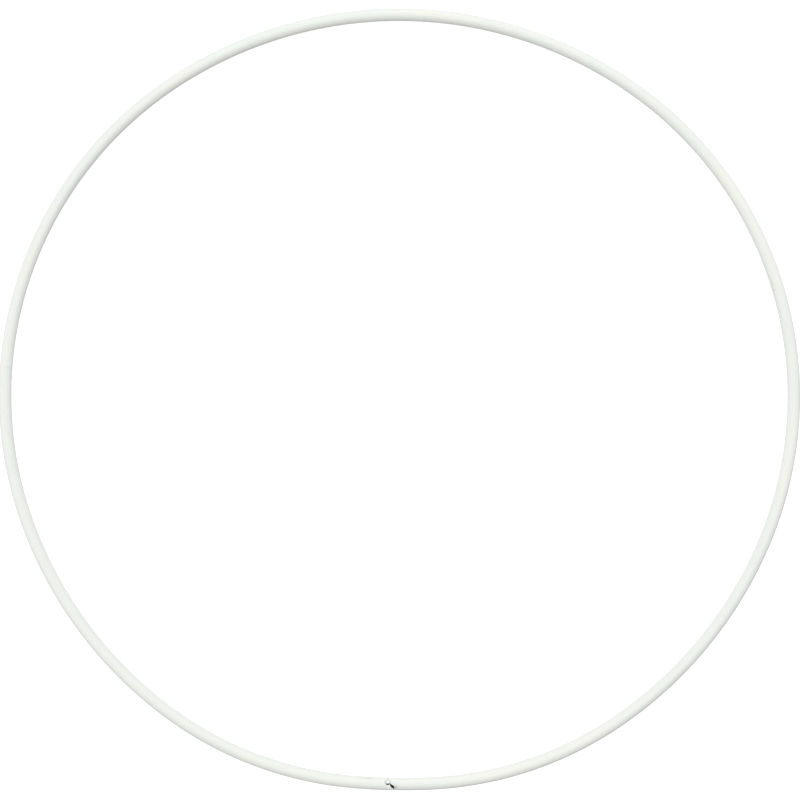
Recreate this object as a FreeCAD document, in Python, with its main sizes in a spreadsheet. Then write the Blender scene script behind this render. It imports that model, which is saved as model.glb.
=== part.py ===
import FreeCAD, Part
import math
import os
import Sketcher

# Rhythmic gymnastics hoop: one plastic tube bent round into a ring, whose two slanted
# ends meet over a curved plug, and a domed pin that goes through one end into the plug.
#
# Frame, in millimetres: the hoop lies flat in the XY plane with its middle at the
# origin, the joint is at -Y, and the head of the pin faces +Z.
#
# The ring isn't a true circle. It is a little wider than it is high, the plug holds it
# flatter at the joint, and the tube bends more tightly where the plug ends. Its
# centre line is a chain of tangent arcs, the same on both sides of the Y axis.

DIMENSIONS = [
    # alias, value, what it is (lengths in mm, angles in degrees)
    ("tube_diameter", 14.0, "outside diameter of the tube"),
    ("tube_wall", 3.0, "wall of the tube"),
    ("half_width", 437.0, "origin to the centre line, along X"),
    ("half_height", 426.2, "origin to the centre line, along Y"),
    ("joint_bend", 650.0, "bend radius over the plug"),
    ("shoulder_bend", 400.0, "bend radius beside the plug"),
    ("shoulder_turn", 36.0, "heading where the shoulder ends"),
    ("lower_turn", 68.0, "heading where the lower bend ends"),
    ("side_turn", 145.0, "heading where the side bend ends"),
    ("seam_slant", 33.5, "slant of the cut ends, off square"),
    ("seam_gap", 0.1, "gap between the ends where they meet"),
    ("gape_length", 7.2, "length of the open stretch of the seam"),
    ("gape_width", 3.0, "width of that stretch at its middle"),
    ("gape_reach", 2.3, "joint centre to the middle of the open stretch"),
    ("plug_length", 90.0, "length of the plug along its arc"),
    ("plug_clearance", 0.05, "play between the plug and the bore, on radius"),
    ("plug_chamfer", 1.0, "chamfer on each end of the plug"),
    ("pin_offset", 3.7, "joint centre to the pin, along the tube towards -X"),
    ("pin_lean", 25.5, "lean of the pin from +Z towards the hoop's middle"),
    ("pin_diameter", 1.8, "diameter of the pin's shank"),
    ("pin_length", 8.5, "length of the shank with its point"),
    ("pin_point", 1.6, "length of the point"),
    ("pin_clearance", 0.02, "play round the shank, on radius"),
    ("head_diameter", 5.6, "diameter of the pin's head"),
    ("head_height", 1.3, "height of the dome over its rim"),
    ("head_rim", 0.2, "straight rim under the dome"),
    ("seat_height", 6.1, "tube centre to the floor of the head's seat"),
    ("seat_margin", 0.25, "room round the head in its seat"),
    ("cut_overrun", 2.0, "how far a cut runs on past the floor of the seat"),
]

doc = FreeCAD.newDocument("rhythmic_hoop")
sheet = doc.addObject("Spreadsheet::Sheet", "Dimensions")
size = {}
for row, (alias, value, meaning) in enumerate(DIMENSIONS, start=1):
    sheet.set("A%d" % row, meaning)
    sheet.set("B%d" % row, str(value))
    sheet.setAlias("B%d" % row, alias)
    size[alias] = value
doc.recompute()

UP = FreeCAD.Vector(0, 0, 1)
GUIDE = 50.0  # length of the construction lines that only give a direction


def plane_of(body, role):
    """One of the body's own origin planes."""
    for feature in body.Origin.OriginFeatures:
        if feature.Role == role:
            return feature
    raise ValueError("no origin plane " + role)


def new_body(label):
    body = doc.addObject("PartDesign::Body", label)
    body.Label = label
    return body


def new_sketch(body, name, role):
    sketch = body.newObject("Sketcher::SketchObject", name)
    sketch.AttachmentSupport = [(plane_of(body, role), "")]
    sketch.MapMode = "FlatFace"
    return sketch


def bind(sketch, expression, *constraint):
    """Add a constraint whose value follows the sheet."""
    index = sketch.addConstraint(Sketcher.Constraint(*constraint))
    sketch.setExpression("Constraints[%d]" % index, expression)


def add_circle(sketch, radius, radius_expression, y=0.0, y_expression=None):
    """A circle whose centre is on the sketch's first axis, or at its origin."""
    centre = FreeCAD.Vector(y, 0, 0)
    circle = sketch.addGeometry(Part.Circle(centre, UP, radius), False)
    if y_expression is None:
        sketch.addConstraint(Sketcher.Constraint("Coincident", circle, 3, -1, 1))
    else:
        sketch.addConstraint(Sketcher.Constraint("PointOnObject", circle, 3, -1))
        bind(sketch, y_expression, "DistanceX", -1, 1, circle, 3, y)
    bind(sketch, radius_expression, "Radius", circle, radius)


def arc_about(centre, radius, start_heading, end_heading):
    """An arc run anticlockwise: a heading is the way along it, turned from +X."""
    circle = Part.Circle(centre, UP, radius)
    quarter = math.pi / 2
    return Part.ArcOfCircle(circle, start_heading - quarter, end_heading - quarter)


def starting_radii(headings):
    """Radii of the lower, side and top arcs that close the half ring.

    The lower and side arcs share the climb to the widest point, and all three share
    the whole height. Three conditions fix three radii: width, closure and height.
    """
    joint, shoulder, lower, side = headings
    widest = math.pi / 2
    fixed = ((0.0, joint, size["joint_bend"]), (joint, shoulder, size["shoulder_bend"]))
    across = sum(r * (math.sin(b) - math.sin(a)) for a, b, r in fixed)
    climb = sum(r * (math.cos(a) - math.cos(b)) for a, b, r in fixed)

    # with the lower radius as the unknown, the other two follow from it
    def side_radius(lower_radius):
        left = size["half_width"] - across
        left -= lower_radius * (math.sin(lower) - math.sin(shoulder))
        return left / (math.sin(widest) - math.sin(lower))

    def top_radius(lower_radius):
        back = size["half_width"]
        back -= side_radius(lower_radius) * (math.sin(widest) - math.sin(side))
        return back / math.sin(side)

    def height(lower_radius):
        total = climb + lower_radius * (math.cos(shoulder) - math.cos(lower))
        total += side_radius(lower_radius) * (math.cos(lower) - math.cos(side))
        total += top_radius(lower_radius) * (math.cos(side) + 1.0)
        return total

    # the height is linear in the lower radius, so two samples give it exactly
    at_zero = height(0.0)
    slope = height(1.0) - at_zero
    lower_radius = (2 * size["half_height"] - at_zero) / slope
    return lower_radius, side_radius(lower_radius), top_radius(lower_radius)


def centre_line_sketch(body):
    """Half of the ring's centre line, from the joint round to the far side."""
    sketch = new_sketch(body, "half_centre_line", "XY_Plane")
    names = ("shoulder_turn", "lower_turn", "side_turn")
    joint_turn = size["plug_length"] / 2 / size["joint_bend"]
    headings = [joint_turn] + [math.radians(size[name]) for name in names]
    radii = (size["joint_bend"], size["shoulder_bend"]) + starting_radii(headings)
    corners = [0.0] + headings + [math.pi]

    here = FreeCAD.Vector(0, -size["half_height"], 0)
    arcs = []
    for start, end, radius in zip(corners, corners[1:], radii):
        to_centre = FreeCAD.Vector(-math.sin(start), math.cos(start), 0)
        centre = here + to_centre * radius
        arc = arc_about(centre, radius, start, end)
        arcs.append(sketch.addGeometry(arc, False))
        here = arc.EndPoint
    for before, after in zip(arcs, arcs[1:]):
        sketch.addConstraint(Sketcher.Constraint("Tangent", before, 2, after, 1))

    first, last = arcs[0], arcs[-1]
    on_axis = ((first, 1), (first, 3), (last, 2), (last, 3))
    for arc, point in on_axis:
        sketch.addConstraint(Sketcher.Constraint("PointOnObject", arc, point, -2))
    bind(sketch, "Dimensions.half_height", "DistanceY", first, 1, -1, 1, size["half_height"])
    bind(sketch, "Dimensions.half_height", "DistanceY", -1, 1, last, 2, size["half_height"])

    # the widest point of the side arc touches a line that stands at half the width
    reach = size["half_width"]
    low, high = FreeCAD.Vector(reach, -GUIDE / 2, 0), FreeCAD.Vector(reach, GUIDE / 2, 0)
    widest = sketch.addGeometry(Part.LineSegment(low, high), True)
    sketch.addConstraint(Sketcher.Constraint("Vertical", widest))
    sketch.addConstraint(Sketcher.Constraint("Tangent", widest, arcs[3]))
    bind(sketch, "Dimensions.half_width", "DistanceX", -1, 1, widest, 1, reach)

    bind(sketch, "Dimensions.joint_bend", "Radius", arcs[0], radii[0])
    bind(sketch, "Dimensions.shoulder_bend", "Radius", arcs[1], radii[1])
    turned = "Dimensions.plug_length / 2 / Dimensions.joint_bend * 180 / pi * 1 deg"
    bind(sketch, turned, "Angle", arcs[0], joint_turn)
    for name, arc, start, end in zip(names, arcs[1:], headings, headings[1:]):
        span = "Dimensions.%s * 1 deg - %s" % (name, turned)
        bind(sketch, span, "Angle", arc, end - start)
        turned = "Dimensions.%s * 1 deg" % name
    return sketch


def pin_plane_sketch(body, name, at_joint):
    """A sketch whose vertical axis is the pin's axis and whose origin is in the tube.

    The pin goes through one end of the tube, close beside the seam, and points at the
    tube's centre line.
    """
    sketch = new_sketch(body, name, "YZ_Plane")
    sketch.AttachmentOffset = FreeCAD.Placement(
        FreeCAD.Vector(0, 0, 0), FreeCAD.Rotation(UP, -size["pin_lean"])
    )
    sketch.setExpression("AttachmentOffset.Base.z", "-Dimensions.pin_offset")
    sketch.setExpression("AttachmentOffset.Rotation.Angle", "-Dimensions.pin_lean * 1 deg")
    if not at_joint:
        sketch.setExpression("AttachmentOffset.Base.x", "-Dimensions.half_height")
    return sketch


def add_outline(sketch, points, expressions):
    """A closed outline of straight edges, starting on the sketch's vertical axis.

    Each point is tied to the sheet by its distances from the origin, apart from the
    ones that lie on the vertical axis, which need only a height.
    """
    count = len(points)
    edges = []
    for index in range(count):
        start = FreeCAD.Vector(*points[index], 0)
        end = FreeCAD.Vector(*points[(index + 1) % count], 0)
        edges.append(sketch.addGeometry(Part.LineSegment(start, end), False))
    for index in range(count):
        after = edges[(index + 1) % count]
        sketch.addConstraint(Sketcher.Constraint("Coincident", edges[index], 2, after, 1))
    for edge, (x, y), (x_expression, y_expression) in zip(edges, points, expressions):
        if x_expression is None:
            sketch.addConstraint(Sketcher.Constraint("PointOnObject", edge, 1, -2))
        else:
            bind(sketch, x_expression, "DistanceX", -1, 1, edge, 1, x)
        bind(sketch, y_expression, "DistanceY", -1, 1, edge, 1, y)


def pin_hole_outline(sketch):
    """Half section of the hole that the driven pin makes, with its point."""
    radius = "Dimensions.pin_diameter / 2 + Dimensions.pin_clearance"
    top = "Dimensions.seat_height + Dimensions.cut_overrun"
    shoulder = "Dimensions.seat_height - Dimensions.pin_length + Dimensions.pin_point"
    tip = "Dimensions.seat_height - Dimensions.pin_length - Dimensions.pin_clearance"
    reach = size["pin_diameter"] / 2 + size["pin_clearance"]
    over = size["seat_height"] + size["cut_overrun"]
    end = size["seat_height"] - size["pin_length"]
    neck = end + size["pin_point"]
    end -= size["pin_clearance"]
    add_outline(
        sketch,
        [(0, over), (reach, over), (reach, neck), (0, end)],
        [(None, top), (radius, top), (radius, shoulder), (None, tip)],
    )


def cut_round_pin(body, sketch, name):
    """Turn the sketch about the pin's axis and take it out of the body."""
    before = body.Tip.Shape.Volume
    groove = body.newObject("PartDesign::Groove", name)
    groove.Profile = sketch
    groove.ReferenceAxis = (sketch, ["V_Axis"])
    groove.Angle = 360.0
    doc.recompute()
    if groove.Shape.Volume >= before:
        raise ValueError(name + " cut nothing")
    return groove


def make_tube():
    """The bent tube: a hollow ring with a slanted seam, opened out beside the pin's head."""
    body = new_body("hoop_tube")
    path = centre_line_sketch(body)

    section = new_sketch(body, "tube_section", "YZ_Plane")
    centre = -size["half_height"]
    outside = size["tube_diameter"] / 2
    inside = outside - size["tube_wall"]
    place = "-Dimensions.half_height"
    bore = "Dimensions.tube_diameter / 2 - Dimensions.tube_wall"
    add_circle(section, outside, "Dimensions.tube_diameter / 2", centre, place)
    add_circle(section, inside, bore, centre, place)
    doc.recompute()

    half = body.newObject("PartDesign::AdditivePipe", "half_ring")
    half.Profile = section
    half.Spine = path
    doc.recompute()
    ring = body.newObject("PartDesign::Mirrored", "whole_ring")
    ring.Originals = [half]
    ring.MirrorPlane = (plane_of(body, "YZ_Plane"), [""])
    body.Tip = ring
    doc.recompute()

    seam = new_sketch(body, "seam_cut", "XY_Plane")
    draw_seam(seam)
    doc.recompute()
    cut = body.newObject("PartDesign::Pocket", "seam")
    cut.Profile = seam
    cut.Type = 1
    cut.Midplane = True
    doc.recompute()
    if cut.Shape.Volume >= ring.Shape.Volume:
        raise ValueError("the seam cut nothing")

    gape = new_sketch(body, "gape_outline", "XY_Plane")
    draw_gape(gape)
    doc.recompute()
    opened = body.newObject("PartDesign::Pocket", "gape")
    opened.Profile = gape
    opened.Type = 0
    opened.Reversed = True
    opened.setExpression("Length", "Dimensions.tube_diameter")
    doc.recompute()
    if opened.Shape.Volume >= cut.Shape.Volume:
        raise ValueError("the gape cut nothing")

    hole = pin_plane_sketch(body, "pin_hole_section", False)
    pin_hole_outline(hole)
    cut_round_pin(body, hole, "pin_hole")

    # the head's seat is a flat floor with sides that lean out at 45 degrees
    seat = pin_plane_sketch(body, "seat_section", False)
    floor = size["seat_height"]
    rim = size["head_diameter"] / 2 + size["seat_margin"]
    flare = size["cut_overrun"]
    wide = "Dimensions.head_diameter / 2 + Dimensions.seat_margin"
    level = "Dimensions.seat_height"
    further = " + Dimensions.cut_overrun"
    add_outline(
        seat,
        [(0, floor), (rim, floor), (rim + flare, floor + flare), (0, floor + flare)],
        [(None, level), (wide, level), (wide + further, level + further), (None, level + further)],
    )
    cut_round_pin(body, seat, "head_seat")
    return body


def seam_directions():
    """Along the seam, away from the hoop's middle, and square to it."""
    slant = math.radians(size["seam_slant"])
    along = FreeCAD.Vector(math.sin(slant), -math.cos(slant), 0)
    across = FreeCAD.Vector(math.cos(slant), math.sin(slant), 0)
    return along, across


def draw_seam(sketch):
    """A thin slanted strip through the joint's centre, longer than the tube is wide."""
    along, across = seam_directions()
    middle = FreeCAD.Vector(0, -size["half_height"], 0)
    along = along * size["tube_diameter"]
    across = across * (size["seam_gap"] / 2)
    corners = [middle - along - across, middle + along - across]
    corners += [middle + along + across, middle - along + across]
    edges = []
    for start, end in zip(corners, corners[1:] + corners[:1]):
        edges.append(sketch.addGeometry(Part.LineSegment(start, end), False))
    for before, after in zip(edges, edges[1:] + edges[:1]):
        sketch.addConstraint(Sketcher.Constraint("Coincident", before, 2, after, 1))
    sketch.addConstraint(Sketcher.Constraint("Parallel", edges[0], edges[2]))
    sketch.addConstraint(Sketcher.Constraint("Parallel", edges[1], edges[3]))
    sketch.addConstraint(Sketcher.Constraint("Perpendicular", edges[0], edges[1]))
    heading = math.radians(size["seam_slant"] - 90)
    bind(sketch, "(Dimensions.seam_slant - 90) * 1 deg", "Angle", edges[0], heading)
    bind(sketch, "Dimensions.seam_gap", "Distance", edges[1], size["seam_gap"])
    reach = 2 * size["tube_diameter"]
    bind(sketch, "2 * Dimensions.tube_diameter", "Distance", edges[0], reach)
    centre = sketch.addGeometry(Part.Point(middle), True)
    corner_pair = (edges[0], 1, edges[1], 2)
    sketch.addConstraint(Sketcher.Constraint("Symmetric", *corner_pair, centre, 1))
    sketch.addConstraint(Sketcher.Constraint("PointOnObject", centre, 1, -2))
    below = size["half_height"]
    bind(sketch, "Dimensions.half_height", "DistanceY", centre, 1, -1, 1, below)


def draw_gape(sketch):
    """A lens of two equal arcs, whose tips lie on the seam."""
    along, across = seam_directions()
    joint = FreeCAD.Vector(0, -size["half_height"], 0)
    middle = joint + along * size["gape_reach"]
    half_length = along * (size["gape_length"] / 2)
    half_width = across * (size["gape_width"] / 2)
    far_tip, near_tip = middle + half_length, middle - half_length
    right_arc = Part.Arc(far_tip, middle + half_width, near_tip)
    left_arc = Part.Arc(near_tip, middle - half_width, far_tip)
    right = sketch.addGeometry(right_arc, False)
    left = sketch.addGeometry(left_arc, False)
    seam = sketch.addGeometry(Part.LineSegment(joint, middle), True)

    sketch.addConstraint(Sketcher.Constraint("PointOnObject", seam, 1, -2))
    below = size["half_height"]
    bind(sketch, "Dimensions.half_height", "DistanceY", seam, 1, -1, 1, below)
    heading = math.radians(size["seam_slant"] - 90)
    bind(sketch, "(Dimensions.seam_slant - 90) * 1 deg", "Angle", seam, heading)
    bind(sketch, "Dimensions.gape_reach", "Distance", seam, size["gape_reach"])

    sketch.addConstraint(Sketcher.Constraint("Coincident", right, 2, left, 1))
    sketch.addConstraint(Sketcher.Constraint("Coincident", left, 2, right, 1))
    sketch.addConstraint(Sketcher.Constraint("Symmetric", right, 1, right, 2, seam, 2))
    sketch.addConstraint(Sketcher.Constraint("PointOnObject", right, 1, seam))
    length = size["gape_length"]
    bind(sketch, "Dimensions.gape_length", "Distance", right, 1, right, 2, length)
    bend = "(Dimensions.gape_length ^ 2 + Dimensions.gape_width ^ 2)"
    bend += " / (4 * Dimensions.gape_width)"
    radius = (size["gape_length"] ** 2 + size["gape_width"] ** 2) / (4 * size["gape_width"])
    bind(sketch, bend, "Radius", right, radius)
    bind(sketch, bend, "Radius", left, radius)


def make_plug():
    """The plug: a solid rod bent like the tube over it, with chamfered ends."""
    body = new_body("joint_plug")
    body.setExpression("Placement.Base.y", "-Dimensions.half_height")

    section = new_sketch(body, "plug_section", "YZ_Plane")
    radius = size["tube_diameter"] / 2 - size["tube_wall"] - size["plug_clearance"]
    play = "Dimensions.tube_diameter / 2 - Dimensions.tube_wall - Dimensions.plug_clearance"
    add_circle(section, radius, play)
    bend = size["joint_bend"]
    low, high = FreeCAD.Vector(bend, -GUIDE / 2, 0), FreeCAD.Vector(bend, GUIDE / 2, 0)
    axis = section.addGeometry(Part.LineSegment(low, high), True)
    section.addConstraint(Sketcher.Constraint("Vertical", axis))
    bind(section, "Dimensions.joint_bend", "DistanceX", -1, 1, axis, 1, bend)
    doc.recompute()

    rod = body.newObject("PartDesign::Revolution", "bent_rod")
    rod.Profile = section
    rod.ReferenceAxis = (section, ["Axis0"])
    rod.Midplane = True
    turn = "Dimensions.plug_length / Dimensions.joint_bend * 180 / pi * 1 deg"
    rod.setExpression("Angle", turn)
    doc.recompute()

    rims = []
    for index, edge in enumerate(rod.Shape.Edges, start=1):
        if isinstance(edge.Curve, Part.Circle) and abs(edge.Curve.Radius - radius) < 0.01:
            rims.append("Edge%d" % index)
    chamfer = body.newObject("PartDesign::Chamfer", "end_chamfers")
    chamfer.Base = (rod, rims)
    chamfer.setExpression("Size", "Dimensions.plug_chamfer")
    doc.recompute()

    hole = pin_plane_sketch(body, "plug_hole_section", True)
    pin_hole_outline(hole)
    cut_round_pin(body, hole, "plug_hole")
    return body


def make_pin():
    """The pin: a domed head on a straight shank with a point, turned about its axis."""
    body = new_body("joint_pin")
    body.Placement = FreeCAD.Placement(
        FreeCAD.Vector(0, 0, 0), FreeCAD.Rotation(FreeCAD.Vector(1, 0, 0), -size["pin_lean"])
    )
    body.setExpression("Placement.Base.x", "-Dimensions.pin_offset")
    body.setExpression("Placement.Base.y", "-Dimensions.half_height")
    body.setExpression("Placement.Rotation.Angle", "-Dimensions.pin_lean * 1 deg")

    section = new_sketch(body, "pin_section", "YZ_Plane")
    seat = size["seat_height"]
    shank = size["pin_diameter"] / 2
    rim = size["head_diameter"] / 2
    brim = seat + size["head_rim"]
    top = brim + size["head_height"]
    neck = seat - size["pin_length"] + size["pin_point"]
    tip = seat - size["pin_length"]

    dome_radius = (rim ** 2 + size["head_height"] ** 2) / (2 * size["head_height"])
    dome_centre = FreeCAD.Vector(0, top - dome_radius, 0)
    dome_circle = Part.Circle(dome_centre, UP, dome_radius)
    opening = math.atan2(brim - dome_centre.y, rim)
    dome = section.addGeometry(
        Part.ArcOfCircle(dome_circle, opening, math.pi / 2), False
    )
    corners = [(0, top), (0, tip), (shank, neck), (shank, seat), (rim, seat), (rim, brim)]
    edges = []
    for start, end in zip(corners, corners[1:]):
        line = Part.LineSegment(FreeCAD.Vector(*start, 0), FreeCAD.Vector(*end, 0))
        edges.append(section.addGeometry(line, False))
    for before, after in zip(edges, edges[1:]):
        section.addConstraint(Sketcher.Constraint("Coincident", before, 2, after, 1))
    section.addConstraint(Sketcher.Constraint("Coincident", dome, 2, edges[0], 1))
    section.addConstraint(Sketcher.Constraint("Coincident", dome, 1, edges[-1], 2))
    section.addConstraint(Sketcher.Constraint("PointOnObject", dome, 3, -2))

    level = "Dimensions.seat_height"
    end = level + " - Dimensions.pin_length"
    brim_level = level + " + Dimensions.head_rim"
    heights = (
        (edges[0], 1, brim_level + " + Dimensions.head_height", top),
        (edges[1], 1, end, tip),
        (edges[2], 1, end + " + Dimensions.pin_point", neck),
        (edges[3], 1, level, seat),
        (edges[4], 1, level, seat),
        (edges[4], 2, brim_level, brim),
    )
    for edge, point, expression, value in heights:
        bind(section, expression, "DistanceY", -1, 1, edge, point, value)
    for edge in edges[:2]:
        section.addConstraint(Sketcher.Constraint("PointOnObject", edge, 1, -2))
    half_shank = "Dimensions.pin_diameter / 2"
    half_head = "Dimensions.head_diameter / 2"
    widths = (
        (edges[2], 1, half_shank, shank),
        (edges[3], 1, half_shank, shank),
        (edges[4], 1, half_head, rim),
        (edges[4], 2, half_head, rim),
    )
    for edge, point, expression, value in widths:
        bind(section, expression, "DistanceX", -1, 1, edge, point, value)
    doc.recompute()

    turned = body.newObject("PartDesign::Revolution", "turned_pin")
    turned.Profile = section
    turned.ReferenceAxis = (section, ["V_Axis"])
    turned.Angle = 360.0
    doc.recompute()
    return body


def check_and_write(pieces):
    """Stop if anything failed to build, then write each piece to its own file."""
    doc.recompute()
    for item in doc.Objects:
        if "Invalid" in item.State or "Error" in item.State:
            raise ValueError("%s failed: %s" % (item.Name, item.State))
    for piece in pieces:
        shape = piece.Shape
        if shape.isNull() or not shape.isValid() or len(shape.Solids) != 1:
            raise ValueError(piece.Label + " isn't one valid solid")
    os.makedirs("parts", exist_ok=True)
    for piece in pieces:
        piece.Shape.exportStep("parts/%s.step" % piece.Label)
        centimetres = piece.Shape.Volume / 1000
        print("%-12s %8.2f cm3" % (piece.Label, centimetres), piece.Shape.BoundBox)


check_and_write([make_tube(), make_plug(), make_pin()])
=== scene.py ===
import math

import bmesh
import bpy
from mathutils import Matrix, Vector


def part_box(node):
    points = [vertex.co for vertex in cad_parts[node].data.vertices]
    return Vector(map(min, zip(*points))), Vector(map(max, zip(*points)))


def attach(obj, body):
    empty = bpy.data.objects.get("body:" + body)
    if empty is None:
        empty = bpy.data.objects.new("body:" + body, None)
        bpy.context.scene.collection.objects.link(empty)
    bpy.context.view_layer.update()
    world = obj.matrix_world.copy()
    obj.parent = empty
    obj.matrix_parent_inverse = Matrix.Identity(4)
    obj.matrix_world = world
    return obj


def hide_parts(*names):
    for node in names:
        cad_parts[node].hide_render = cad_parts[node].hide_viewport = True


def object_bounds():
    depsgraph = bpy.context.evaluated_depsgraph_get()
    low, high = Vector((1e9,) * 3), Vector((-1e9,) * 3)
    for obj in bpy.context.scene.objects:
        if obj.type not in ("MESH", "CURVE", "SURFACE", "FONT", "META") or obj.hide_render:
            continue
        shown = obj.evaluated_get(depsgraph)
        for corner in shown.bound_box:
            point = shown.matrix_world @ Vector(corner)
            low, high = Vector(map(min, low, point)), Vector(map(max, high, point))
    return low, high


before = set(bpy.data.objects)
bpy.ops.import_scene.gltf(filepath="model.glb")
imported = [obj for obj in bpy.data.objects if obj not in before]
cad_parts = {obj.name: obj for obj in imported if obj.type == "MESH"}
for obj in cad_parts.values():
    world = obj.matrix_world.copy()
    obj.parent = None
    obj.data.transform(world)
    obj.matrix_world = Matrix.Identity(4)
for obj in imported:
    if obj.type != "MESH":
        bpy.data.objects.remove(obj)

# A white rhythmic hoop lying flat on a pale floor, seen from straight above.
# Lengths are in metres and angles in degrees unless a name says otherwise. The tube's
# centre line is in the plane z = 0, with the joint at -Y and the pin's head facing +Z.

cad_low, cad_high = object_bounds()
tube_low, tube_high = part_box("hoop_tube")
MM = 0.001

# ---- the tube, with the same bends as the CAD model's ----
TUBE_RADIUS = 7.0 * MM
BORE_RADIUS = 4.0 * MM
HALF_WIDTH = round(tube_high.x, 4) - TUBE_RADIUS
HALF_HEIGHT = round(-tube_low.y, 4) - TUBE_RADIUS
JOINT_BEND = 650 * MM
SHOULDER_BEND = 400 * MM
PLUG_LENGTH = 90 * MM
SHOULDER_TURN = 36
LOWER_TURN = 68
SIDE_TURN = 145

# ---- the joint ----
SEAM_SLANT = math.radians(33.5)
SEAM_GAP = 0.004 * MM
LIP_RADIUS = 0.3 * MM
GAPE_REACH = 2.3 * MM
GAPE_LENGTH = 7.2 * MM
GAPE_WIDTH = 3.0 * MM
# the ends draw back over this height above the tube's middle, and the tube is back in
# shape at this distance from the cut end
GAPE_RISE = 1.5 * MM
GAPE_FADE = 6 * MM
# sections lean with the seam up to here, and are square to the tube this much further on
LEAN_REACH = 3 * MM
LEAN_FADE = 23 * MM
# how far from the cut end the skin can be dented or cut away for the pin's head
DENT_REACH = 12 * MM
# depth and spread of the dent beside the open stretch, for the ends towards +X and -X
GAPE_DENT = {1: (0.80 * MM, 3.0 * MM), -1: (0.45 * MM, 2.2 * MM)}
# painted shade beside the open stretch, and a pale patch of painted highlight between it and the
# pin:
# how strong, where from the joint's centre, and how far it spreads
SLOPE_SHADE = (0.34, Vector((4.8, -3.0, 6.6)) * MM, 2.9 * MM)
HIGHLIGHT_PATCH = (0.85, Vector((-2.7, -2.3, 7.0)) * MM, 1.9 * MM)
PIN_OFFSET = 3.7 * MM
PIN_LEAN = math.radians(25.5)
HEAD_RADIUS = 2.8 * MM
HEAD_HEIGHT = 1.3 * MM
HEAD_RIM = 0.2 * MM
SEAT_HEIGHT = 6.1 * MM
SEAT_MARGIN = 0.22 * MM
SEAT_GROOVE = 0.5 * MM
GROOVE_FALL = 0.3 * MM
SEAT_WALL_SLOPE = 1.6
SEAT_ROUNDING = 0.12 * MM
SHANK_RADIUS = 0.9 * MM
SHANK_LENGTH = 8.5 * MM
POINT_LENGTH = 1.6 * MM
POINT_RADIUS = 0.18 * MM
POINT_ROUNDING = 0.15 * MM
NECK_FILLET = 0.15 * MM
NECK_HEIGHT = 0.2 * MM
RIM_CHAMFER = (0.10 * MM, 0.08 * MM)
RIM_ROUNDING = 0.02 * MM

# ---- where painted shade lies ----
GROOVE_SHADE_EDGE = 0.35 * MM
BORE_SHADE_REACH = 8 * MM
LIP_SHADE = 0.35
LIP_SHADE_REACH = 0.5 * MM

# ---- mesh density: steps along the tube, points round a section, and sharp edges ----
FIRST_STEP = 0.15 * MM
JOINT_STEP = 0.16 * MM
JOINT_REACH = 8 * MM
STEP_GROWTH = 1.12
PLAIN_STEP = 5.5 * MM
FINE_REACH = 18 * MM
MEDIUM_REACH = 32 * MM
FINE_COUNT = 256
MEDIUM_COUNT = 128
PLAIN_COUNT = 64
LIP_STEPS = 6
FACE_RADIUS = 5.4 * MM
BORE_COUNT = 32
BORE_FINE_STEP = 3 * MM
BORE_FINE_STEPS = 10
BORE_STEP = 8 * MM
PIN_COUNT = 64
DOME_STEPS = 14
TUBE_CREASE = math.radians(50)
PIN_CREASE = math.radians(60)


def smooth(x):
    """0 below 0, 1 above 1, and a smooth step between."""
    x = min(max(x, 0.0), 1.0)
    return x * x * (3 - 2 * x)


# ---------------------------------------------------------------- the centre line


def closing_radii(headings):
    """Bend radii of the lower, side and top arcs, from the half width and height."""
    joint, shoulder, lower, side = headings
    widest = math.pi / 2
    fixed = ((0.0, joint, JOINT_BEND), (joint, shoulder, SHOULDER_BEND))
    across = sum(r * (math.sin(b) - math.sin(a)) for a, b, r in fixed)
    climb = sum(r * (math.cos(a) - math.cos(b)) for a, b, r in fixed)

    def others(lower_radius):
        left = HALF_WIDTH - across
        left -= lower_radius * (math.sin(lower) - math.sin(shoulder))
        side_radius = left / (math.sin(widest) - math.sin(lower))
        back = HALF_WIDTH - side_radius * (math.sin(widest) - math.sin(side))
        return side_radius, back / math.sin(side)

    def height(lower_radius):
        side_radius, top_radius = others(lower_radius)
        total = climb + lower_radius * (math.cos(shoulder) - math.cos(lower))
        total += side_radius * (math.cos(lower) - math.cos(side))
        return total + top_radius * (math.cos(side) + 1.0)

    # the height is linear in the lower radius
    at_zero = height(0.0)
    lower_radius = (2 * HALF_HEIGHT - at_zero) / (height(1.0) - at_zero)
    return (lower_radius,) + others(lower_radius)


def ring_arcs():
    """The ring's arcs, anticlockwise from the joint, and its length.

    Each arc is (length before it, its start, heading there, radius).
    """
    headings = [PLUG_LENGTH / 2 / JOINT_BEND]
    headings += [math.radians(a) for a in (SHOULDER_TURN, LOWER_TURN, SIDE_TURN)]
    radii = (JOINT_BEND, SHOULDER_BEND) + closing_radii(headings)
    corners = [0.0] + headings + [math.pi]
    turns = [b - a for a, b in zip(corners, corners[1:])]
    bends = list(zip(radii, turns))
    arcs, before, here, heading = [], 0.0, Vector((0, -HALF_HEIGHT, 0)), 0.0
    for radius, turn in bends + bends[::-1]:
        arcs.append((before, here, heading, radius))
        before += radius * turn
        centre = here + radius * Vector((-math.sin(heading), math.cos(heading), 0))
        heading += turn
        here = centre + radius * Vector((math.sin(heading), -math.cos(heading), 0))
    return arcs, before


ARCS, RING_LENGTH = ring_arcs()


def on_ring(distance):
    """Point of the centre line and outward direction there, at a distance from the joint."""
    distance %= RING_LENGTH
    for before, start, heading, radius in reversed(ARCS):
        if distance >= before:
            break
    centre = start + radius * Vector((-math.sin(heading), math.cos(heading), 0))
    now = heading + (distance - before) / radius
    outward = Vector((math.sin(now), -math.cos(now), 0))
    return centre + radius * outward, outward


# ---------------------------------------------------------------- the joint's shape

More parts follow.
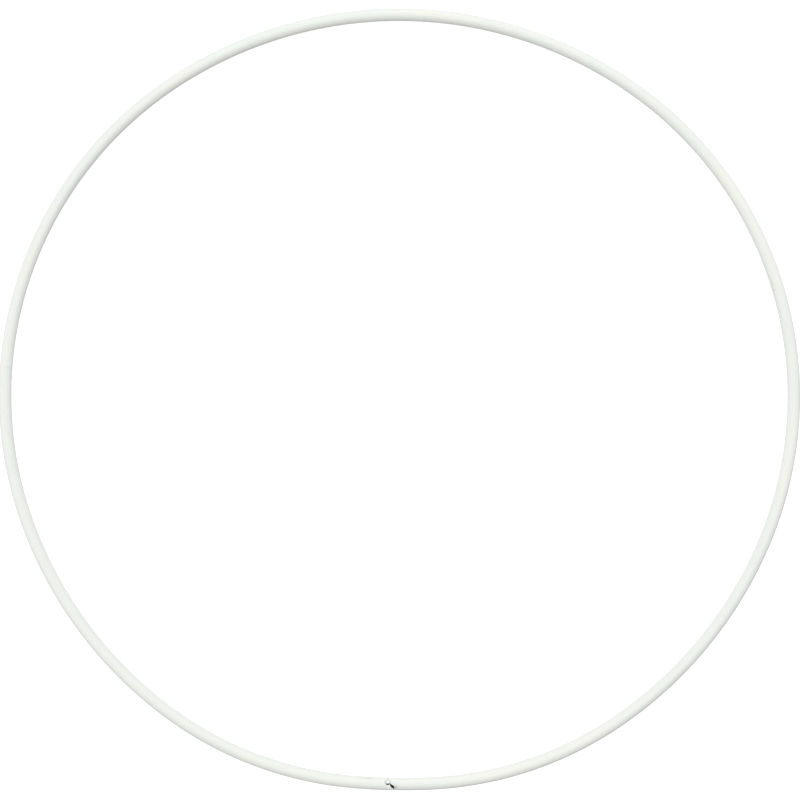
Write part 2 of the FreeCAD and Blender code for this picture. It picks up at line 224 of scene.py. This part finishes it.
PIN_BASE = Vector((-PIN_OFFSET, -HALF_HEIGHT, 0))
PIN_AXIS = Vector((0, math.sin(PIN_LEAN), math.cos(PIN_LEAN)))
JOINT = Vector((0, -HALF_HEIGHT, 0))
ALONG_SEAM = Vector((math.sin(SEAM_SLANT), -math.cos(SEAM_SLANT), 0))
ACROSS_SEAM = Vector((math.cos(SEAM_SLANT), math.sin(SEAM_SLANT), 0))
SEAT_OPEN_SIDE = Vector((0.05, -1.0, 0)).normalized()


def from_pin(point):
    """Height along the pin's axis, distance from it, and how open the seat is on that side."""
    to_point = point - PIN_BASE
    height = to_point.dot(PIN_AXIS)
    spoke = to_point - height * PIN_AXIS
    away = spoke.length
    facing = spoke.dot(SEAT_OPEN_SIDE) / away if away > 0 else 0.0
    return height, away, smooth(0.5 + 0.5 * facing)


def seat_edge(open_share):
    """Radius at which the seat's wall starts to climb, larger on the outward side."""
    return HEAD_RADIUS + SEAT_MARGIN * (0.4 + open_share)


def seat_depth(point):
    """How far a point of the tube's skin is pushed down the pin's axis, to seat its head.

    A groove runs round the head, wide and deep on its outward side and fading inward.
    """
    height, away, open_share = from_pin(point)
    if height < 0 or away > 3 * HEAD_RADIUS:
        return 0.0
    groove = SEAT_GROOVE * open_share * smooth((away - HEAD_RADIUS) / GROOVE_FALL + 1)
    allowed = SEAT_HEIGHT - groove + max(away - seat_edge(open_share), 0.0) * SEAT_WALL_SLOPE
    # a soft minimum rounds the edge of the seat, and is the same as a hard one far inside it
    excess = (height - allowed) / SEAT_ROUNDING
    if excess > 30:
        return height - allowed
    return SEAT_ROUNDING * math.log1p(math.exp(excess))


def painted_seat_shade(point):
    """Painted shade in the open side of the groove round the head, the side away from the light.
    """
    height, away, open_share = from_pin(point)
    if height < 0:
        return 0.0
    outside = (away - seat_edge(open_share)) / GROOVE_SHADE_EDGE + 0.1
    return open_share ** 4 * (1.0 - smooth(outside))


def gape_share(reach):
    """Half width of the open stretch, as a share of its widest, at a reach along the seam."""
    x = (reach - GAPE_REACH) / (GAPE_LENGTH / 2)
    return max(1.0 - x * x, 0.0)


def gape_dent(point, side):
    """How far the skin beside the open stretch is sunk, more at the end that runs to +X."""
    if point.z < 0:
        return 0.0
    to_point = point - JOINT
    reach, across = to_point.dot(ALONG_SEAM), to_point.dot(ACROSS_SEAM)
    past = max(abs(reach - GAPE_REACH) - GAPE_LENGTH / 4, 0.0)
    depth, spread = GAPE_DENT[side]
    return depth * math.exp(-((math.hypot(past, across) / spread) ** 2))


def tube_point(side, inset, angle, radius):
    """A point of the tube.

    side is +1 or -1, for the end that runs from the joint towards +X or -X; inset is
    the distance from the cut end; angle is 0 outward and a quarter turn at +Z. Near
    the joint, sections lean with the seam, and draw back from its open stretch.
    """
    outward_part = radius * math.cos(angle)
    height = radius * math.sin(angle)
    lean = 1.0 - smooth((inset - LEAN_REACH) / LEAN_FADE)
    along = side * (SEAM_GAP / 2 + inset) + lean * outward_part * math.tan(SEAM_SLANT)
    draw_back = gape_share(outward_part / math.cos(SEAM_SLANT))
    draw_back *= GAPE_WIDTH / 2 / math.cos(SEAM_SLANT)
    draw_back *= smooth(height / GAPE_RISE) * (1.0 - smooth(inset / GAPE_FADE))
    middle, outward = on_ring(along + side * draw_back)
    spoke = outward * outward_part + Vector((0, 0, height))
    point = middle + spoke
    if inset > DENT_REACH or radius < TUBE_RADIUS - 2 * LIP_RADIUS:
        return point
    point -= spoke.normalized() * gape_dent(point, side)
    return point - PIN_AXIS * seat_depth(point)


def painted_joint_shade(inset, radius):
    """How much painted shade a point holds: full on a cut face, some at its lip and in the bore.
    """
    if radius == BORE_RADIUS:
        return 1.0 - smooth(inset / BORE_SHADE_REACH)
    deep = smooth((TUBE_RADIUS - radius) / (2 * LIP_RADIUS))
    return max(deep, LIP_SHADE * (1.0 - smooth(inset / LIP_SHADE_REACH)))


def patch(point, share, place, spread):
    """The strength of a soft round patch at a point of the skin."""
    away = (point - JOINT - place) / spread
    return share * math.exp(-away.length_squared)


def painted_skin_shade(point, inset, radius):
    """The most of the three kinds of painted shade at a point of the tube."""
    return max(painted_joint_shade(inset, radius), painted_seat_shade(point), patch(point, *SLOPE_SHADE))


# ---------------------------------------------------------------- meshes


def link(name, mesh_builder):
    """A smooth-shaded object of the scene, from a finished mesh builder."""
    for face in mesh_builder.faces:
        face.smooth = True
    mesh = bpy.data.meshes.new(name)
    mesh_builder.normal_update()
    mesh_builder.to_mesh(mesh)
    mesh_builder.free()
    thing = bpy.data.objects.new(name, mesh)
    bpy.context.scene.collection.objects.link(thing)
    return thing


def stitch(builder, first, second):
    """Faces between two closed loops of points that start at the same angle.

    The counts may differ by a power of two.
    """
    if len(first) < len(second):
        stitch_uneven(builder, second, first, True)
    else:
        stitch_uneven(builder, first, second, False)


def stitch_uneven(builder, many, few, flipped):
    """The same, where the first loop has at least as many points as the second."""
    step = len(many) // len(few)
    for index, corner in enumerate(few):
        after = few[(index + 1) % len(few)]
        start = index * step
        fan = [many[(start + k) % len(many)] for k in range(step + 1)]
        faces = [(fan[0], fan[1], after, corner)] if step == 1 else []
        if step > 1:
            half = step // 2
            faces += [(fan[k], fan[k + 1], corner) for k in range(half)]
            faces += [(fan[half], after, corner)]
            faces += [(fan[k], fan[k + 1], after) for k in range(half, step)]
        for face in faces:
            builder.faces.new(face[::-1] if flipped else face)


def count_at(inset):
    """Points round a section of the outer skin."""
    if inset < FINE_REACH:
        return FINE_COUNT
    return MEDIUM_COUNT if inset < MEDIUM_REACH else PLAIN_COUNT


def skin_insets():
    """Distances from a cut end to the sections of the outer skin, up to the far side."""
    insets = [LIP_RADIUS + FIRST_STEP]
    gap = JOINT_STEP
    while insets[-1] + gap < MEDIUM_REACH + PLAIN_STEP:
        insets.append(insets[-1] + gap)
        if insets[-1] > JOINT_REACH:
            gap = min(gap * STEP_GROWTH, PLAIN_STEP)
    left = RING_LENGTH / 2 - insets[-1]
    steps = round(left / PLAIN_STEP)
    return insets + [insets[-1] + left * (k + 1) / steps for k in range(steps)]


def tube_sections():
    """(inset, radius, number of points) from the far side, over the cut end, into the bore."""
    skin = [(inset, TUBE_RADIUS, count_at(inset)) for inset in skin_insets()][::-1]
    lip = []
    for step in range(LIP_STEPS, -1, -1):
        turn = math.pi / 2 * step / LIP_STEPS
        inset = LIP_RADIUS * (1 - math.cos(turn))
        radius = TUBE_RADIUS - LIP_RADIUS * (1 - math.sin(turn))
        lip.append((inset, radius, FINE_COUNT))
    face = [(0.0, FACE_RADIUS, FINE_COUNT), (0.0, BORE_RADIUS, MEDIUM_COUNT)]
    bore = [(0.5 * MM, BORE_RADIUS, PLAIN_COUNT), (1.5 * MM, BORE_RADIUS, BORE_COUNT)]
    insets = [BORE_FINE_STEP * (k + 1) for k in range(BORE_FINE_STEPS)]
    left = RING_LENGTH / 2 - insets[-1]
    steps = round(left / BORE_STEP)
    insets += [insets[-1] + left * (k + 1) / steps for k in range(steps)]
    bore += [(inset, BORE_RADIUS, BORE_COUNT) for inset in insets]
    return skin + lip + face + bore


def make_tube():
    """The whole tube as one closed skin: outside, rounded cut ends and bore."""
    builder = bmesh.new()
    place = builder.verts.layers.float_vector.new("tube_place")
    # painted shade at the joint: cut faces, their lips, the bore near the ends, the groove round
    # the pin's head and beside the open stretch
    painted_shade = builder.verts.layers.float.new("painted_joint_shade")
    # a painted highlight: a paler patch of skin between the open stretch and the pin
    painted_highlight = builder.verts.layers.float.new("painted_highlight")
    shared = {}

    def loop(side, inset, radius, count):
        # the two ends share their last loops, on the far side of the ring
        far = inset > RING_LENGTH / 2 - SEAM_GAP
        key = (round(radius, 6), count)
        if far and key in shared:
            return shared[key]
        points = []
        for k in range(count):
            angle = 2 * math.pi * k / count
            vertex = builder.verts.new(tube_point(side, inset, angle, radius))
            along = side * inset % RING_LENGTH
            vertex[place] = (along, radius * math.cos(angle), radius * math.sin(angle))
            vertex[painted_shade] = painted_skin_shade(vertex.co, inset, radius)
            vertex[painted_highlight] = patch(vertex.co, *HIGHLIGHT_PATCH)
            points.append(vertex)
        if far:
            shared[key] = points
        return points

    for side in (1, -1):
        loops = [loop(side, *section) for section in tube_sections()]
        for before, after in zip(loops, loops[1:]):
            stitch(builder, before, after)
    bmesh.ops.recalc_face_normals(builder, faces=builder.faces)
    tube = link("white_tube", builder)
    tube.data.set_sharp_from_angle(angle=TUBE_CREASE)
    return tube


def turned(name, profile, base, axis, count):
    """A solid turned about an axis. The profile runs from pole to pole: (radius, height)."""
    across = axis.orthogonal().normalized()
    other = axis.cross(across)
    builder = bmesh.new()
    loops = []
    for radius, height in profile:
        if radius == 0.0:
            loops.append([builder.verts.new(base + axis * height)])
            continue
        points = []
        for k in range(count):
            turn = 2 * math.pi * k / count
            spoke = across * math.cos(turn) + other * math.sin(turn)
            points.append(builder.verts.new(base + axis * height + spoke * radius))
        loops.append(points)
    for before, after in zip(loops, loops[1:]):
        for k in range(count):
            corners = [before[k % len(before)], before[(k + 1) % len(before)]]
            corners += [after[(k + 1) % len(after)], after[k % len(after)]]
            builder.faces.new(list(dict.fromkeys(corners)))
    bmesh.ops.recalc_face_normals(builder, faces=builder.faces)
    return link(name, builder)


def make_pin():
    """The domed pin, with the rim of its head rounded over."""
    tip = SEAT_HEIGHT - SHANK_LENGTH
    brim = SEAT_HEIGHT + HEAD_RIM
    dome = (HEAD_RADIUS ** 2 + HEAD_HEIGHT ** 2) / (2 * HEAD_HEIGHT)
    half_angle = math.asin(HEAD_RADIUS / dome)
    chamfer_width, chamfer_height = RIM_CHAMFER
    profile = [
        (0.0, tip),
        (POINT_RADIUS, tip + POINT_ROUNDING),
        (SHANK_RADIUS, tip + POINT_LENGTH),
        (SHANK_RADIUS, SEAT_HEIGHT - NECK_HEIGHT),
        (SHANK_RADIUS + NECK_FILLET, SEAT_HEIGHT),
        (HEAD_RADIUS - chamfer_width, SEAT_HEIGHT),
        (HEAD_RADIUS, SEAT_HEIGHT + chamfer_height),
        (HEAD_RADIUS - RIM_ROUNDING, brim - RIM_ROUNDING),
    ]
    for k in range(1, DOME_STEPS):
        turn = half_angle * (1 - k / DOME_STEPS)
        height = brim + HEAD_HEIGHT - dome * (1 - math.cos(turn))
        profile.append((dome * math.sin(turn), height))
    profile.append((0.0, brim + HEAD_HEIGHT))
    pin = turned("domed_pin", profile, PIN_BASE, PIN_AXIS, PIN_COUNT)
    # painted shade, darker towards the outward rim of the head
    painted_shade = pin.data.attributes.new("painted_rim_shade", "FLOAT", "POINT")
    for vertex in pin.data.vertices:
        _, away, open_share = from_pin(vertex.co)
        rim = smooth((away / HEAD_RADIUS - 0.3) / 0.7)
        painted_shade.data[vertex.index].value = rim * open_share ** 4
    pin.data.set_sharp_from_angle(angle=PIN_CREASE)
    return pin


# ---------------------------------------------------------------- materials


class Nodes:
    """A material's node tree, with short ways to add nodes and join them."""

    def __init__(self, name):
        self.material = bpy.data.materials.new(name)
        self.material.use_nodes = True
        self.tree = self.material.node_tree
        self.shader = self.tree.nodes["Principled BSDF"]

    def add(self, kind, settings=None, **inputs):
        node = self.tree.nodes.new(kind)
        for key, value in (settings or {}).items():
            setattr(node, key, value)
        for key, value in inputs.items():
            self.feed(node.inputs[key.replace("_", " ")], value)
        return node

    def feed(self, socket, value):
        if isinstance(value, bpy.types.NodeSocket):
            self.tree.links.new(value, socket)
        else:
            socket.default_value = value

    def set(self, name, value):
        self.feed(self.shader.inputs[name], value)

    def noise(self, vector, scale, detail=4.0, roughness=0.5):
        return self.add(
            "ShaderNodeTexNoise", None, Vector=vector, Scale=scale, Detail=detail,
            Roughness=roughness,
        ).outputs["Fac"]

    def ramp(self, value, low, high, to_low=0.0, to_high=1.0):
        node = self.add("ShaderNodeMapRange", {"clamp": True})
        for index, number in enumerate((value, low, high, to_low, to_high)):
            self.feed(node.inputs[index], number)
        return node.outputs["Result"]

    def maths(self, operation, first, second=0.0):
        node = self.add("ShaderNodeMath", {"operation": operation})
        self.feed(node.inputs[0], first)
        self.feed(node.inputs[1], second)
        return node.outputs["Value"]

    def stretch(self, vector, factors):
        node = self.add("ShaderNodeVectorMath", {"operation": "MULTIPLY"})
        self.feed(node.inputs[0], vector)
        node.inputs[1].default_value = factors
        return node.outputs["Vector"]

    def mix(self, share, first, second):
        node = self.add("ShaderNodeMix", {"data_type": "RGBA"})
        self.feed(node.inputs["Factor"], share)
        first_socket, second_socket = [s for s in node.inputs if s.type == "RGBA"]
        self.feed(first_socket, first)
        self.feed(second_socket, second)
        return [s for s in node.outputs if s.type == "RGBA"][0]

    def bump(self, height, strength, distance):
        node = self.add(
            "ShaderNodeBump", None, Height=height, Strength=strength, Distance=distance
        )
        return node.outputs["Normal"]


COOL_WHITE = (0.795, 0.832, 0.790, 1)
WARM_WHITE = (0.832, 0.838, 0.790, 1)
# colour of the painted highlight between the open stretch and the pin
HIGHLIGHT_WHITE = (0.97, 0.98, 0.96, 1)
SPECK = (0.52, 0.50, 0.44, 1)
SCUFF = (0.42, 0.41, 0.38, 1)
STAIN = (0.46, 0.43, 0.33, 1)
# near-black colour of the painted shade at the joint and on the pin's rim
SHADE_COLOUR = (0.030, 0.028, 0.026, 1)
BLACK = (0.010, 0.010, 0.012, 1)
RUBBED_BLACK = (0.035, 0.035, 0.037, 1)
NICKEL = (0.88, 0.90, 0.90, 1)
DULL_NICKEL = (0.80, 0.82, 0.82, 1)

# old stains on the upper side of the tube: how strong, how far round from the joint, how
# far outward from the centre line, and how far the stain reaches each way along the tube
STAINS = (
    (0.20, 820.5 * MM, -4.9 * MM, 8.0 * MM),
    (0.40, 812.0 * MM, -5.8 * MM, 2.6 * MM),
    (0.30, 2011.0 * MM, -3.3 * MM, 1.6 * MM),
    (0.35, 2689.0 * MM, -5.9 * MM, 9.0 * MM),
)
STAIN_REACH = 1.8 * MM


def stain_share(m, place, share, along, outward, reach):
    """A soft spot on the tube's skin, stretched along the tube."""
    away = m.add("ShaderNodeVectorMath", {"operation": "SUBTRACT"})
    m.feed(away.inputs[0], place)
    away.inputs[1].default_value = (along, outward, math.sqrt(TUBE_RADIUS ** 2 - outward ** 2))
    scaled = m.stretch(away.outputs["Vector"], (1 / reach, 1 / STAIN_REACH, 1 / STAIN_REACH))
    distance = m.add("ShaderNodeVectorMath", {"operation": "LENGTH"})
    m.feed(distance.inputs[0], scaled)
    return m.ramp(distance.outputs["Value"], 0.2, 1.0, share, 0.0)


def white_plastic():
    """Extruded gloss plastic: draw lines along the tube, cloudy colour, scuffs, old stains."""
    m = Nodes("white_plastic")
    place = m.add("ShaderNodeAttribute", {"attribute_name": "tube_place"}).outputs["Vector"]
    lines = m.noise(m.stretch(place, (6.0, 1400.0, 1400.0)), 1.0, 3.0)
    ripple = m.noise(m.stretch(place, (60.0, 90.0, 90.0)), 1.0, 2.0)
    clouds = m.noise(m.stretch(place, (14.0, 60.0, 60.0)), 1.0, 5.0)
    specks = m.noise(place, 2600.0, 2.0)
    wear = m.noise(m.stretch(place, (40.0, 160.0, 160.0)), 1.0, 6.0, 0.7)

    colour = m.mix(m.ramp(clouds, 0.35, 0.65), COOL_WHITE, WARM_WHITE)
    grime = m.maths("MULTIPLY", m.ramp(specks, 0.70, 0.78), 0.25)
    colour = m.mix(grime, colour, SPECK)

    # the outward side rolls on the floor, so it has most of the scuffs
    outward = m.add("ShaderNodeSeparateXYZ", None, Vector=place).outputs["Y"]
    rolled = m.ramp(outward, 0.2 * TUBE_RADIUS, 0.9 * TUBE_RADIUS, 0.15, 1.0)
    scratched = m.noise(m.stretch(place, (90.0, 700.0, 700.0)), 1.0, 6.0, 0.65)
    scuffed = m.maths("MULTIPLY", m.ramp(scratched, 0.60, 0.70), rolled)
    colour = m.mix(m.maths("MULTIPLY", scuffed, 0.22), colour, SCUFF)

    for stain in STAINS:
        colour = m.mix(stain_share(m, place, *stain), colour, STAIN)
    # painted highlight: a paler patch between the open stretch and the pin
    pale = m.add("ShaderNodeAttribute", {"attribute_name": "painted_highlight"}).outputs["Fac"]
    colour = m.mix(pale, colour, HIGHLIGHT_WHITE)
    # painted shade: near black on the cut faces and in the bore near them, and darker in the
    # groove and dent beside the joint
    painted_shade = m.add("ShaderNodeAttribute", {"attribute_name": "painted_joint_shade"}).outputs["Fac"]
    patchy = m.ramp(m.noise(place, 1800.0, 4.0), 0.30, 0.60, 0.75, 1.0)
    colour = m.mix(m.maths("MULTIPLY", painted_shade, patchy), colour, SHADE_COLOUR)
    m.set("Base Color", colour)

    dull = m.maths("ADD", m.ramp(wear, 0.35, 0.75, 0.20, 0.42), m.maths("MULTIPLY", scuffed, 0.2))
    m.set("Roughness", dull)
    m.set("Specular IOR Level", 0.5)
    m.set("IOR", 1.5)
    m.set("Coat Weight", 0.15)
    m.set("Coat Roughness", 0.12)
    height = m.maths("ADD", m.maths("MULTIPLY", lines, 0.35), ripple)
    m.set("Normal", m.bump(height, 0.25, 0.00006))
    return m.material


def black_plastic():
    """Moulded black plastic with a fine grain and pale rub marks."""
    m = Nodes("black_plastic")
    place = m.add("ShaderNodeTexCoord").outputs["Object"]
    grain = m.noise(place, 4200.0, 3.0)
    marks = m.noise(m.stretch(place, (300.0, 2200.0, 2200.0)), 1.0, 5.0, 0.6)
    colour = m.mix(m.ramp(marks, 0.60, 0.75), BLACK, RUBBED_BLACK)
    m.set("Base Color", colour)
    m.set("Roughness", m.ramp(marks, 0.4, 0.7, 0.62, 0.45))
    m.set("Specular IOR Level", 0.35)
    m.set("Normal", m.bump(grain, 0.4, 0.00004))
    return m.material


def plated_steel():
    """Bright nickel plate with hairline scratches and a dull film in patches."""
    m = Nodes("plated_steel")
    place = m.add("ShaderNodeTexCoord").outputs["Object"]
    scratches = m.noise(m.stretch(place, (900.0, 9000.0, 5200.0)), 1.0, 3.0)
    film = m.noise(place, 900.0, 4.0)
    colour = m.mix(m.ramp(film, 0.4, 0.7), NICKEL, DULL_NICKEL)
    # painted shade on the outward side of the head's rim
    painted_shade = m.add("ShaderNodeAttribute", {"attribute_name": "painted_rim_shade"}).outputs["Fac"]
    patchy = m.ramp(m.noise(place, 1500.0, 4.0), 0.30, 0.60, 0.80, 1.0)
    colour = m.mix(m.maths("MULTIPLY", painted_shade, patchy), colour, SHADE_COLOUR)
    m.set("Base Color", colour)
    m.set("Metallic", 1.0)
    m.set("Roughness", m.ramp(film, 0.35, 0.7, 0.34, 0.46))
    m.set("Normal", m.bump(scratches, 0.2, 0.00001))
    return m.material


def pale_floor():
    """A back-lit pale sheet that shows as white, and is clear from underneath."""
    m = Nodes("pale_floor")
    place = m.add("ShaderNodeTexCoord").outputs["Object"]
    tone = m.noise(place, 3.0, 3.0)
    m.set("Base Color", m.mix(tone, (0.90, 0.90, 0.90, 1), (0.93, 0.93, 0.93, 1)))
    m.set("Roughness", 0.7)
    m.set("Specular IOR Level", 0.1)
    m.set("Emission Color", (1, 1, 1, 1))
    m.set("Emission Strength", FLOOR_GLOW)
    below = m.add("ShaderNodeNewGeometry").outputs["Backfacing"]
    clear = m.add("ShaderNodeBsdfTransparent").outputs["BSDF"]
    blend = m.add("ShaderNodeMixShader")
    m.feed(blend.inputs[0], below)
    m.feed(blend.inputs[1], m.shader.outputs["BSDF"])
    m.feed(blend.inputs[2], clear)
    output = m.tree.nodes["Material Output"]
    m.feed(output.inputs["Surface"], blend.outputs["Shader"])
    return m.material


# ---------------------------------------------------------------- the studio

FLOOR_GLOW = 0.50
FLOOR_RADIUS = 40.0
FLOOR_GAP = 0.05 * MM
# brightness away from the bright side and towards it, and where it changes between them
BRIGHT_SIDE = Vector((-0.32, 0.95, 0)).normalized()
ROOM_LIGHT = (0.58, 0.64)
FLOOR_BOUNCE = (0.27, 0.98)
ROOM_REACH = (-0.65, 0.35)
HORIZON_BLUR = 0.1
CAMERA_HEIGHT = 2.5
CAMERA_ROLL = math.radians(1.23)
SEEN_WIDTH = 0.8865
CAMERA_OFFSET = Vector((0.72 * MM, -0.78 * MM, 0))

# softboxes, all aimed at the hoop's middle: name, place, width, depth, brightness
SOFTBOXES = (
    ("overhead", (0.0, 1.2, 5.2), 7.0, 6.0, 0.60),
    ("far_side", (0.0, 5.6, 3.2), 7.0, 4.0, 1.00),
    ("left", (-5.8, -2.0, 3.4), 8.0, 6.0, 0.90),
    ("right", (5.8, 1.8, 3.2), 7.0, 5.0, 0.76),
)


def make_floor():
    """The pale floor. Its bounced light comes from the room's lower half instead."""
    builder = bmesh.new()
    bmesh.ops.create_circle(builder, cap_ends=True, radius=FLOOR_RADIUS, segments=96)
    bmesh.ops.translate(builder, verts=builder.verts, vec=(0, 0, cad_low.z - FLOOR_GAP))
    floor = link("floor", builder)
    floor.data.materials.append(pale_floor())
    floor.visible_diffuse = False
    floor.visible_glossy = False


def make_softbox(name, place, width, depth, brightness):
    """A rectangular light aimed at the hoop's middle. A brightness of 1 is white."""
    data = bpy.data.lights.new(name, "AREA")
    data.shape = "RECTANGLE"
    data.size, data.size_y = width, depth
    data.energy = brightness * math.pi * width * depth
    lamp = bpy.data.objects.new(name, data)
    lamp.location = place
    lamp.rotation_euler = (-Vector(place)).to_track_quat("-Z", "Y").to_euler()
    lamp.visible_camera = False
    bpy.context.scene.collection.objects.link(lamp)


def make_room():
    """Soft light all round, above and below the horizon, brighter on the bright side."""
    room = bpy.data.worlds.new("soft_room")
    room.use_nodes = True
    tree = room.node_tree
    background = tree.nodes["Background"]
    background.inputs["Color"].default_value = (1, 1, 1, 1)
    place = tree.nodes.new("ShaderNodeTexCoord")
    split = tree.nodes.new("ShaderNodeSeparateXYZ")
    tree.links.new(place.outputs["Generated"], split.inputs["Vector"])
    facing = tree.nodes.new("ShaderNodeVectorMath")
    facing.operation = "DOT_PRODUCT"
    tree.links.new(place.outputs["Generated"], facing.inputs[0])
    facing.inputs[1].default_value = BRIGHT_SIDE

    def blend(value, low, high, to_low, to_high):
        node = tree.nodes.new("ShaderNodeMapRange")
        node.interpolation_type = "SMOOTHSTEP"
        tree.links.new(value, node.inputs["Value"])
        node.inputs["From Min"].default_value = low
        node.inputs["From Max"].default_value = high
        for name, to in (("To Min", to_low), ("To Max", to_high)):
            if isinstance(to, float):
                node.inputs[name].default_value = to
            else:
                tree.links.new(to, node.inputs[name])
        return node.outputs["Result"]

    above = blend(facing.outputs["Value"], *ROOM_REACH, *ROOM_LIGHT)
    below = blend(facing.outputs["Value"], *ROOM_REACH, *FLOOR_BOUNCE)
    both = blend(split.outputs["Z"], -HORIZON_BLUR, HORIZON_BLUR, below, above)
    tree.links.new(both, background.inputs["Strength"])
    bpy.context.scene.world = room


def make_studio():
    """The room's light, the floor and the softboxes, with the Standard view transform."""
    scene = bpy.context.scene
    scene.view_settings.view_transform = "Standard"
    scene.view_settings.look = "None"
    make_room()
    make_floor()
    for softbox in SOFTBOXES:
        make_softbox(*softbox)


def make_camera():
    """A camera straight above the hoop, turned so that the joint is a little off bottom."""
    data = bpy.data.cameras.new("camera")
    data.lens = data.sensor_width * CAMERA_HEIGHT / SEEN_WIDTH
    camera = bpy.data.objects.new("camera", data)
    camera.location = CAMERA_OFFSET + Vector((0, 0, CAMERA_HEIGHT))
    camera.rotation_euler = (0, 0, CAMERA_ROLL)
    bpy.context.scene.collection.objects.link(camera)
    bpy.context.scene.camera = camera


# ---------------------------------------------------------------- the object

make_camera()
make_studio()

tube = make_tube()
tube.data.materials.append(white_plastic())
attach(tube, "root")
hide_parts("hoop_tube")

pin = make_pin()
pin.data.materials.append(plated_steel())
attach(pin, "root")
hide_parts("joint_pin")

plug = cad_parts["joint_plug"]
plug.material_slots[0].material = black_plastic()
